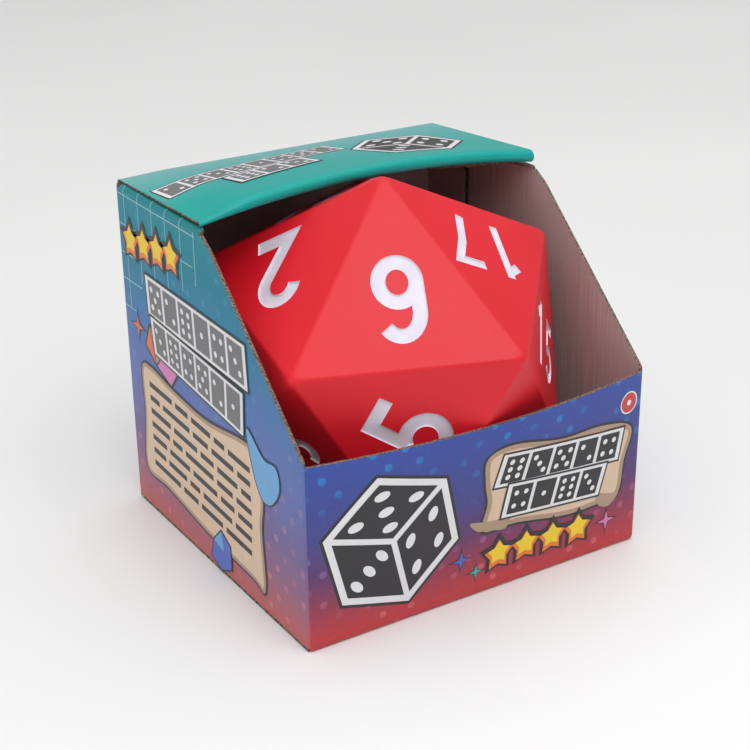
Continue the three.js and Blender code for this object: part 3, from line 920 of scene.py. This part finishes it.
def numeral_cutter():
    """Everything that is cut out of the die: the numerals, and the pour hole in its lower corner."""
    mesh = bmesh.new()
    bmesh.ops.create_cone(mesh, cap_ends=True, segments=32, radius1=POUR_HOLE_RADIUS,
                          radius2=POUR_HOLE_RADIUS, depth=2 * POUR_HOLE_DEPTH,
                          matrix=Matrix.Translation(SOUTH * CIRCUMRADIUS))
    for face in mesh.faces:
        face.material_index = 1
    for face in FACES:
        for digit, height, left, foot in numeral_layout(face.value):
            corner = Matrix.Translation((left, foot, 0))
            width = height * (TWO_DIGIT_STROKE if face.value > 9 else ONE_DIGIT_STROKE)
            for stroke in DIGITS[digit][1]:
                stroke_prism(mesh, stroke.scaled(height), width / 2, face.to_die() @ corner)
    bmesh.ops.recalc_face_normals(mesh, faces=mesh.faces)
    return mesh


def take_faces(source, name, keep, materials):
    """A new piece from the faces of a mesh that pass a test."""
    mesh = bmesh.new()
    mesh.from_mesh(source)
    unwanted = [face for face in mesh.faces if not keep(face)]
    bmesh.ops.delete(mesh, geom=unwanted, context="FACES")
    for face in mesh.faces:
        face.material_index = 0
        face.smooth = True
    return finish_mesh(name, mesh, materials)


def nearest_face(point):
    return max(range(len(FACES)), key=lambda i: FACES[i].normal.dot(point))


def keep_facets_flat(piece):
    modifier = piece.modifiers.new("flat_facets", "WEIGHTED_NORMAL")
    modifier.keep_sharp = True
    modifier.mode = "FACE_AREA"
    modifier.weight = 100


def make_die():
    solid = finish_mesh("die_solid", rounded_die(), (FOAM,))
    cutter = finish_mesh("numeral_cutter", numeral_cutter(), (PAINT, FOAM))
    cut = solid.modifiers.new("numerals", "BOOLEAN")
    cut.object = cutter
    cut.solver = "EXACT"
    cut.use_self = True
    cut.material_mode = "TRANSFER"
    shape = solid.evaluated_get(bpy.context.evaluated_depsgraph_get()).to_mesh()
    paint_index = [slot.name for slot in shape.materials].index(PAINT.name)
    turn = Euler([math.radians(angle) for angle in DIE_TURN], "XYZ").to_matrix().to_4x4()
    to_row = Matrix.Scale(MM, 4) @ Matrix.Translation(DIE_CENTRE) @ turn

    skin = take_faces(shape, "foam_die", lambda face: face.material_index != paint_index, (FOAM,))
    skin.data.transform(to_row)
    keep_facets_flat(skin)
    stand_for(skin, "die", "red_skin", "die_skin", "die_foam_core")
    for index, face in enumerate(FACES):
        def in_numeral(part, wanted=index):
            return part.material_index == paint_index and nearest_face(part.calc_center_median()) == wanted

        label = f"{face.value:02d}"
        roles = ("paint",) if face.value < 10 else ("tens", "units")
        paint = take_faces(shape, "painted_" + label, in_numeral, (PAINT,))
        paint.data.transform(to_row)
        stand_for(paint, "die", "numeral_paint", *[f"numeral_{label}_{role}" for role in roles])
    bpy.data.objects.remove(solid)
    bpy.data.objects.remove(cutter)


# ---------------------------------------------------------------- printed pictures
# Thin ink shapes just above the board. A place is (along, up) on a wall and (x, y) on the lid, in mm.

INK_LIFT = 0.05          # mm for each layer
INK_STEP = 4.5           # longest edge of an ink mesh, so that it follows a bent board
PIP_SIDES = 16
DISC_SIDES = 32
FAT_STAR = (0.58, 5, 90)     # waist, points and turn of a yellow star
INK_COLORS = {
    "dark": (0.022, 0.020, 0.024),
    "white": (0.78, 0.78, 0.80),
    "parchment": (0.72, 0.53, 0.38),
    "parchment_shade": (0.42, 0.29, 0.20),
    "yellow": (0.88, 0.62, 0.02),
    "amber": (0.82, 0.20, 0.03),
    "orange": (0.72, 0.16, 0.07),
    "pink": (0.66, 0.20, 0.46),
    "blue": (0.07, 0.14, 0.55),
    "sky": (0.14, 0.38, 0.70),
    "green": (0.05, 0.42, 0.32),
    "red": (0.60, 0.05, 0.05),
    "pale_line": (0.30, 0.58, 0.62),
    "grey": (0.16, 0.16, 0.17),
}
INKS = {tone: ink_material("ink_" + tone, color) for tone, color in INK_COLORS.items()}


def on_front(x, z, lift):
    return Vector((x, -HALF_DEPTH - front_bulge(x, z) - lift, z))


def on_left(along, z, lift):
    return Vector((-HALF_WIDTH - lift, -along, z))


def on_left_crease(along, up, lift):
    """Round the crease from the left wall to its dust flap; up runs on from the wall's top."""
    angle = min(math.pi / 2, up / CREASE)
    reach = CREASE + lift
    return Vector((-HALF_WIDTH + CREASE - reach * math.cos(angle), -along,
                   CARTON_TOP - CREASE + reach * math.sin(angle)))


def on_lid(x, y, lift):
    return Vector((x, y, lid_top(x, y) + lift))


class Surface:
    """A printed face: where a place on it lies, and the body of its ink; its slot is kept but not used."""

    def __init__(self, place, body, slot):
        self.place = place
        self.body = body
        self.slot = slot

    def ink(self, name, layer, tone, outlines):
        """Fills flat outlines with ink and lays them on the face; a higher layer covers a lower one."""
        mesh = bmesh.new()
        for outline in outlines:
            flat = [Vector((u, v, 0)) for u, v in outline]
            corners = [mesh.verts.new(point) for point in flat]
            for triangle in tessellate_polygon([flat]):
                mesh.faces.new([corners[i] for i in triangle])
        for _ in range(5):
            long_edges = [edge for edge in mesh.edges if edge.calc_length() > INK_STEP]
            bmesh.ops.subdivide_edges(mesh, edges=long_edges, cuts=1)
            bmesh.ops.triangulate(mesh, faces=mesh.faces)
        for vertex in mesh.verts:
            vertex.co = self.place(vertex.co.x, vertex.co.y, INK_LIFT * (layer + 1)) * MM
        bmesh.ops.recalc_face_normals(mesh, faces=mesh.faces)
        for face in mesh.faces:
            face.smooth = True
        piece = finish_mesh(name, mesh, (INKS[tone],))
        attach(piece, self.body)

    def rimmed(self, name, layer, tone, outline, width):
        """A shape with a dark rim of the given width round it."""
        self.ink(name + "_rim", layer, "dark", [grown(outline, width)])
        self.ink(name, layer + 1, tone, [outline])


FRONT = Surface(on_front, "carton_walls", "front_print")
LEFT = Surface(on_left, "carton_walls", "left_print")
LEFT_CREASE = Surface(on_left_crease, "left_dust_flap", "plain_liner")
LID = Surface(on_lid, "lid", "lid_print")


def star(x, y, reach, waist, points=4, turn=0):
    outline = []
    for i in range(points * 2):
        angle = math.pi * i / points + math.radians(turn)
        size = 1 if i % 2 == 0 else waist
        outline.append((x + reach * size * math.cos(angle), y + reach * size * math.sin(angle)))
    return outline


def disc(x, y, radius):
    angles = [2 * math.pi * i / DISC_SIDES for i in range(DISC_SIDES)]
    return [(x + radius * math.cos(angle), y + radius * math.sin(angle)) for angle in angles]


def grown(outline, distance):
    """An outline moved outwards from its middle line, for borders."""
    area = sum(x0 * y1 - x1 * y0 for (x0, y0), (x1, y1) in zip(outline, outline[1:] + outline[:1]))
    return side_line(Stroke(outline, closed=True), -distance if area > 0 else distance, 0)


def band(points, width):
    """The outline of a line of the given width."""
    line = Stroke(points)
    return side_line(line, width / 2, 0) + side_line(line, -width / 2, 0)[::-1]


LOOP_STEPS = 6


def smooth_loop(corners):
    """A closed curve through the corners."""
    loop = []
    count = len(corners)
    for i in range(count):
        p = [Vector(corners[(i + k) % count]) for k in (-1, 0, 1, 2)]
        for step in range(LOOP_STEPS):
            t = step / LOOP_STEPS
            point = 0.5 * ((2 * p[1]) + (p[2] - p[0]) * t + (2 * p[0] - 5 * p[1] + 4 * p[2] - p[3]) * t ** 2
                           + (3 * p[1] - p[0] - 3 * p[2] + p[3]) * t ** 3)
            loop.append((point.x, point.y))
    return loop


def cube_rim(x, y, size):
    """The six outer corners of a cube seen from a corner, a little turned."""
    return [(x + size * math.cos(math.radians(a)), y + size * math.sin(math.radians(a)))
            for a in (105, 45, -15, -75, -135, 165)]


def cube_faces(rim, middle):
    """The three faces that such a cube shows, as outlines."""
    return [
        [rim[5], rim[0], rim[1], middle],
        [middle, rim[1], rim[2], rim[3]],
        [rim[5], middle, rim[3], rim[4]],
    ]


def shrunk(outline, share):
    middle_x = sum(x for x, _ in outline) / len(outline)
    middle_y = sum(y for _, y in outline) / len(outline)
    return [(middle_x + (x - middle_x) * share, middle_y + (y - middle_y) * share) for x, y in outline]


PIP_PLACES = {
    1: [(0.5, 0.5)],
    2: [(0.27, 0.73), (0.73, 0.27)],
    3: [(0.24, 0.76), (0.5, 0.5), (0.76, 0.24)],
    4: [(0.27, 0.27), (0.27, 0.73), (0.73, 0.27), (0.73, 0.73)],
    5: [(0.24, 0.24), (0.24, 0.76), (0.5, 0.5), (0.76, 0.24), (0.76, 0.76)],
    6: [(0.28, 0.22), (0.28, 0.5), (0.28, 0.78), (0.72, 0.22), (0.72, 0.5), (0.72, 0.78)],
}


def pips(outline, places, radius):
    """Round marks on a four-cornered face, at shares of its two sides."""
    corner, first, _, last = (Vector(point) for point in outline)
    right, up = first - corner, last - corner
    angles = [2 * math.pi * i / PIP_SIDES for i in range(PIP_SIDES)]
    marks = []
    for across, along in places:
        middle = corner + right * across + up * along
        marks.append([tuple(middle + right.normalized() * radius * math.cos(angle)
                            + up.normalized() * radius * math.sin(angle)) for angle in angles])
    return marks


def cube_die_picture(prefix, surface, middle, size):
    """A generic cube die with pips: dark faces with white borders."""
    rim = cube_rim(*middle, size)
    faces = cube_faces(rim, middle)
    surface.ink(prefix + "_shadow", 0, "dark", [grown(rim, 0.10 * size)])
    surface.ink(prefix + "_border", 1, "white", [grown(rim, 0.055 * size)])
    surface.ink(prefix + "_faces", 2, "dark", [shrunk(face, 0.90) for face in faces])
    marks = []
    for face, value in zip(faces, (5, 4, 3)):
        marks += pips(face, PIP_PLACES[value], 0.095 * size)
    surface.ink(prefix + "_pips", 3, "white", marks)


def tile_row(prefix, surface, layer, tone, corners, values):
    """A row of square die faces with pips inside a white band.

    corners holds the row's lower left, lower right, upper right and upper left ends.
    """
    low_start, low_end, high_end, high_start = (Vector(corner) for corner in corners)
    count = len(values)
    tiles = []
    marks = []
    for i, value in enumerate(values):
        start, end = (i + 0.07) / count, (i + 0.93) / count
        tile = [low_start.lerp(low_end, start), low_start.lerp(low_end, end),
                high_start.lerp(high_end, end), high_start.lerp(high_end, start)]
        tiles.append([tuple(corner) for corner in tile])
        marks += pips(tiles[-1], PIP_PLACES[value], 0.11 * (tile[1] - tile[0]).length)
    edge = 0.10 * (low_end - low_start).length / count
    surface.ink(prefix + "_rim", layer, "dark", [grown(corners, edge * 1.7)])
    surface.ink(prefix + "_band", layer + 1, "white", [grown(corners, edge)])
    surface.ink(prefix + "_tiles", layer + 2, tone, tiles)
    surface.ink(prefix + "_pips", layer + 3, "white", marks)


def star_row(prefix, surface, size, centres):
    """Fat yellow stars with an orange lower rim and a dark outline."""
    rims = [grown(star(x, y, size, *FAT_STAR), 0.15 * size) for x, y in centres]
    dropped = [star(x, y - 0.08 * size, 0.94 * size, *FAT_STAR) for x, y in centres]
    inner = [star(x, y + 0.06 * size, 0.72 * size, 0.60, 5, 90) for x, y in centres]
    surface.ink(prefix + "_rim", 4, "dark", rims)
    surface.ink(prefix + "_low", 5, "amber", dropped)
    surface.ink(prefix, 6, "yellow", inner)


def sparkle_picture(tone, surface, x, y, size):
    name = "sparkle_" + tone
    surface.ink(name + "_rays", 1, "dark", [star(x, y, size * 1.7, 0.10)])
    surface.ink(name + "_rim", 2, "dark", [star(x, y, size * 1.15, 0.36)])
    surface.ink(name, 3, tone, [star(x, y, size, 0.30)])


def scroll_picture(name, surface, layer, border, corners):
    """A sheet of parchment with a darker border and a dark rim."""
    outline = smooth_loop(corners)
    surface.ink(name + "_rim", layer, "dark", [grown(outline, 1.1)])
    surface.ink(name + "_edge", layer + 1, "parchment_shade", [outline])
    surface.ink(name, layer + 2, "parchment", [grown(outline, -border)])


def front_pictures():
    cube_die_picture("front_emblem", FRONT, (-45, 40), 30)
    scroll_picture("front_scroll", FRONT, 0, 2.2, [
        (-3, 66), (10, 69), (35, 64), (58, 63), (76, 57), (73, 42), (71, 27), (62, 25),
        (42, 25), (15, 30), (-2, 31), (-1, 44), (-3, 54),
    ])
    curls = [smooth_loop([(-9, 37), (1, 35), (11, 34), (9, 29), (0, 31), (-5, 32)]),
             smooth_loop([(58, 30), (66, 28), (71, 27), (66, 22), (60, 24)])]
    FRONT.ink("front_scroll_curls", 3, "parchment_shade", curls)
    tile_row("front_tiles_upper", FRONT, 3, "dark", [(3, 52), (68, 45), (70, 57), (6, 64)], (6, 3, 5, 2, 4))
    tile_row("front_tiles_lower", FRONT, 7, "dark", [(8, 36), (58, 31), (61, 43), (10, 49)], (4, 1, 6, 3))
    star_row("front_stars", FRONT, 8.0, ((7, 17.5), (21, 17.5), (35, 17), (49, 16.5)))
    sparkle_picture("blue", FRONT, -12, 20, 4.2)
    sparkle_picture("green", FRONT, -4, 12, 3.4)
    sparkle_picture("pink", FRONT, 65, 15, 4.6)
    badge = (("badge_ring", "white", 5.2), ("badge", "red", 4.5), ("badge_pip", "white", 1.3))
    for layer, (name, tone, radius) in enumerate(badge, 1):
        FRONT.ink(name, layer, tone, [disc(73.5, 69, radius)])


# Each upright is its place along the wall and its lower end; each level its height and its front end.
GRID_LINE = 0.5
GRID_UPRIGHTS = ((-71, 96), (-57, 112), (-43.5, 116), (-30.5, 118), (-16.5, 121), (-4, 127))
GRID_LEVELS = ((148, -3), (134.5, -6), (121.5, -62), (109.5, -58), (96.5, -66))


def left_grid():
    """Thin pale lines on the upper part of the left wall; the uprights run on round the crease."""
    uprights = [band([(u, SIDE_TOP), (u, low)], GRID_LINE) for u, low in GRID_UPRIGHTS]
    LEFT.ink("grid_uprights", 0, "pale_line", uprights)
    levels = [band([(-HALF_DEPTH + CREASE, z), (end, z)], GRID_LINE) for z, end in GRID_LEVELS]
    LEFT.ink("grid_levels", 1, "pale_line", levels)
    bends = []
    climb = spread(0.0, CREASE * math.pi / 2, 6)
    for u, _ in GRID_UPRIGHTS[:-1]:
        bends.append([(u - GRID_LINE / 2, z) for z in climb]
                     + [(u + GRID_LINE / 2, z) for z in reversed(climb)])
    LEFT_CREASE.ink("grid_bends", 0, "pale_line", bends)


# The bars that stand for small text: lengths and gaps as shares of a row, heights in mm.
BAR_HEIGHT = 2.6
BAR_PITCH = 6.4
BAR_GAP = 0.035
SHORTEST_BAR = 0.05
BAR_LENGTHS = (0.24, 0.13, 0.19, 0.10, 0.28, 0.15, 0.21)


def text_bars(name, surface, layer, rows):
    """Plain bars of mixed lengths in rows; each row is its left end, its right end and a bar's height."""
    bars = []
    for row, (start, end, height) in enumerate(rows):
        start, end = Vector(start), Vector(end)
        lift = Vector((0, height))
        reached = 0.0
        for i in range(len(BAR_LENGTHS)):
            length = min(BAR_LENGTHS[(3 * row + i) % len(BAR_LENGTHS)], 1.0 - reached)
            if length < SHORTEST_BAR:
                break
            a, b = start.lerp(end, reached), start.lerp(end, reached + length)
            bars.append([tuple(a), tuple(b), tuple(b + lift), tuple(a + lift)])
            reached += length + BAR_GAP
    surface.ink(name, layer, "dark", bars)


def left_crystal():
    crystal = [(-53, 94), (-58, 84), (-48, 77), (-34, 72), (-27, 80), (-38, 88)]
    top, left, foot, low, right, shoulder = crystal
    LEFT.ink("crystal_rim", 1, "dark", [grown(crystal, 0.9)])
    facets = (([top, left, foot], "orange"), ([top, foot, shoulder], "parchment_shade"),
              ([foot, low, right, shoulder], "pink"))
    for index, (facet, tone) in enumerate(facets):
        LEFT.ink(f"crystal_facet_{index}", 2, tone, [shrunk(facet, 0.93)])


def left_pictures():
    left_grid()
    star_row("left_stars", LEFT, 8.6, ((-66.5, 129), (-53, 130.5), (-39.5, 132), (-26, 133.5)))
    tile_row("left_tiles_upper", LEFT, 4, "grey", [(-51, 101), (36, 98), (35, 114), (-52, 116)],
             (5, 2, 6, 1, 4, 3))
    tile_row("left_tiles_lower", LEFT, 8, "grey", [(-47, 84), (31, 77), (32, 93), (-49, 98)],
             (3, 6, 4, 5, 2, 1))
    sparkle_picture("orange", LEFT, -65, 90, 5.6)
    left_crystal()
    scroll_picture("left_scroll", LEFT, 3, 1.8, [
        (-64, 71), (-54, 74), (-33, 71), (-2, 69), (30, 73), (41, 71), (46, 53), (44, 38),
        (45, 11), (34, 12), (-5, 14), (-44, 19), (-66, 21), (-64, 50),
    ])
    rows = [((-57, 64 - BAR_PITCH * i), (36, 60.5 - BAR_PITCH * i), BAR_HEIGHT) for i in range(7)]
    text_bars("left_scroll_bars", LEFT, 6, rows)
    comet = smooth_loop([(35, 80), (39, 64), (45, 54), (53, 54), (60, 63), (58, 72), (48, 72)])
    LEFT.rimmed("comet", 5, "sky", comet, 0.7)
    LEFT.rimmed("gem", 7, "blue", [(0, 14), (7, 21), (15, 17), (15, 6), (6, 2), (-3, 5)], 0.8)
    LEFT.ink("gem_light", 9, "sky", [[(0, 14), (7, 21), (9, 12)]])


def lid_pictures():
    cube_die_picture("lid_emblem", LID, (40, 37), 24)
    tile_row("lid_tiles_upper", LID, 0, "grey", [(-76, 37), (14, 50), (12, 64), (-77, 50)],
             (2, 5, 3, 6, 1, 4, 5, 2))
    tile_row("lid_tiles_lower", LID, 4, "grey", [(-49, 24), (-10, 31), (-11, 43), (-50, 36)], (6, 2, 3))


# ---------------------------------------------------------------- stage, light and camera

FLOOR_SIZE = 6.0
CAMERA_AZIMUTH = -0.5584         # the camera's angles are in radians
CAMERA_ELEVATION = 0.4125
CAMERA_ROLL = -0.0123
CAMERA_DISTANCE = 0.6852
CAMERA_TARGET = (-0.00132, 0.0, 0.07028)
CAMERA_LENS = 75.38              # mm, as is the sensor
CAMERA_SENSOR = 36
WORLD_COLOR = (1.0, 0.99, 0.98, 1)
WORLD_STRENGTH = 0.44


def make_floor():
    mesh = bmesh.new()
    bmesh.ops.create_grid(mesh, x_segments=8, y_segments=8, size=FLOOR_SIZE)
    floor = finish_mesh("studio_floor", mesh, (floor_material(),))
    floor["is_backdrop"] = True


def add_light(name, place, target, size, power):
    light = bpy.data.lights.new(name, "AREA")
    light.shape = "RECTANGLE"
    light.size, light.size_y = size
    light.energy = power
    light_object = bpy.data.objects.new(name, light)
    light_object.location = place
    direction = Vector(target) - light_object.location
    light_object.rotation_euler = direction.to_track_quat("-Z", "Y").to_euler()
    bpy.context.scene.collection.objects.link(light_object)


def make_light():
    world = bpy.data.worlds.new("studio")
    world.use_nodes = True
    background = world.node_tree.nodes["Background"]
    background.inputs["Color"].default_value = WORLD_COLOR
    background.inputs["Strength"].default_value = WORLD_STRENGTH
    bpy.context.scene.world = world
    add_light("overhead", (0, -0.3, 2.6), (0, 0, 0), size=(5.0, 5.0), power=75)
    add_light("key_softbox", (-0.12, -0.75, 1.05), (0, 0, 0.06), size=(0.9, 0.9), power=4.9)
    add_light("left_fill", (-1.3, 0.0, 0.30), (0, 0, 0.08), size=(0.8, 0.6), power=1.8)


def make_camera():
    d = Vector((math.cos(CAMERA_ELEVATION) * math.sin(CAMERA_AZIMUTH),
                -math.cos(CAMERA_ELEVATION) * math.cos(CAMERA_AZIMUTH), math.sin(CAMERA_ELEVATION)))
    right = (-d).cross(Vector((0, 0, 1))).normalized()
    up = right.cross(-d)
    c, s = math.cos(CAMERA_ROLL), math.sin(CAMERA_ROLL)
    turned_right = right * c + up * s
    turned_up = up * c - right * s
    camera = bpy.data.cameras.new("camera")
    camera.lens = CAMERA_LENS
    camera.sensor_width = CAMERA_SENSOR
    camera_object = bpy.data.objects.new("camera", camera)
    turn = Matrix((turned_right, turned_up, d)).transposed().to_4x4()
    camera_object.matrix_world = Matrix.Translation(Vector(CAMERA_TARGET) + d * CAMERA_DISTANCE) @ turn
    bpy.context.scene.collection.objects.link(camera_object)
    bpy.context.scene.camera = camera_object


def write_sizes():
    boxes = {"cad": cad_box, "visual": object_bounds()}
    plain = {name: [list(low), list(high)] for name, (low, high) in boxes.items()}


bpy.context.scene.view_settings.view_transform = "Standard"
make_camera()
make_floor()
make_light()
make_walls()
make_glue_tab()
make_lid()
make_dust_flap("left", 1)
make_dust_flap("right", -1)
make_bottom()
make_bottom_tuck()
make_die()
front_pictures()
left_pictures()
lid_pictures()
write_sizes()
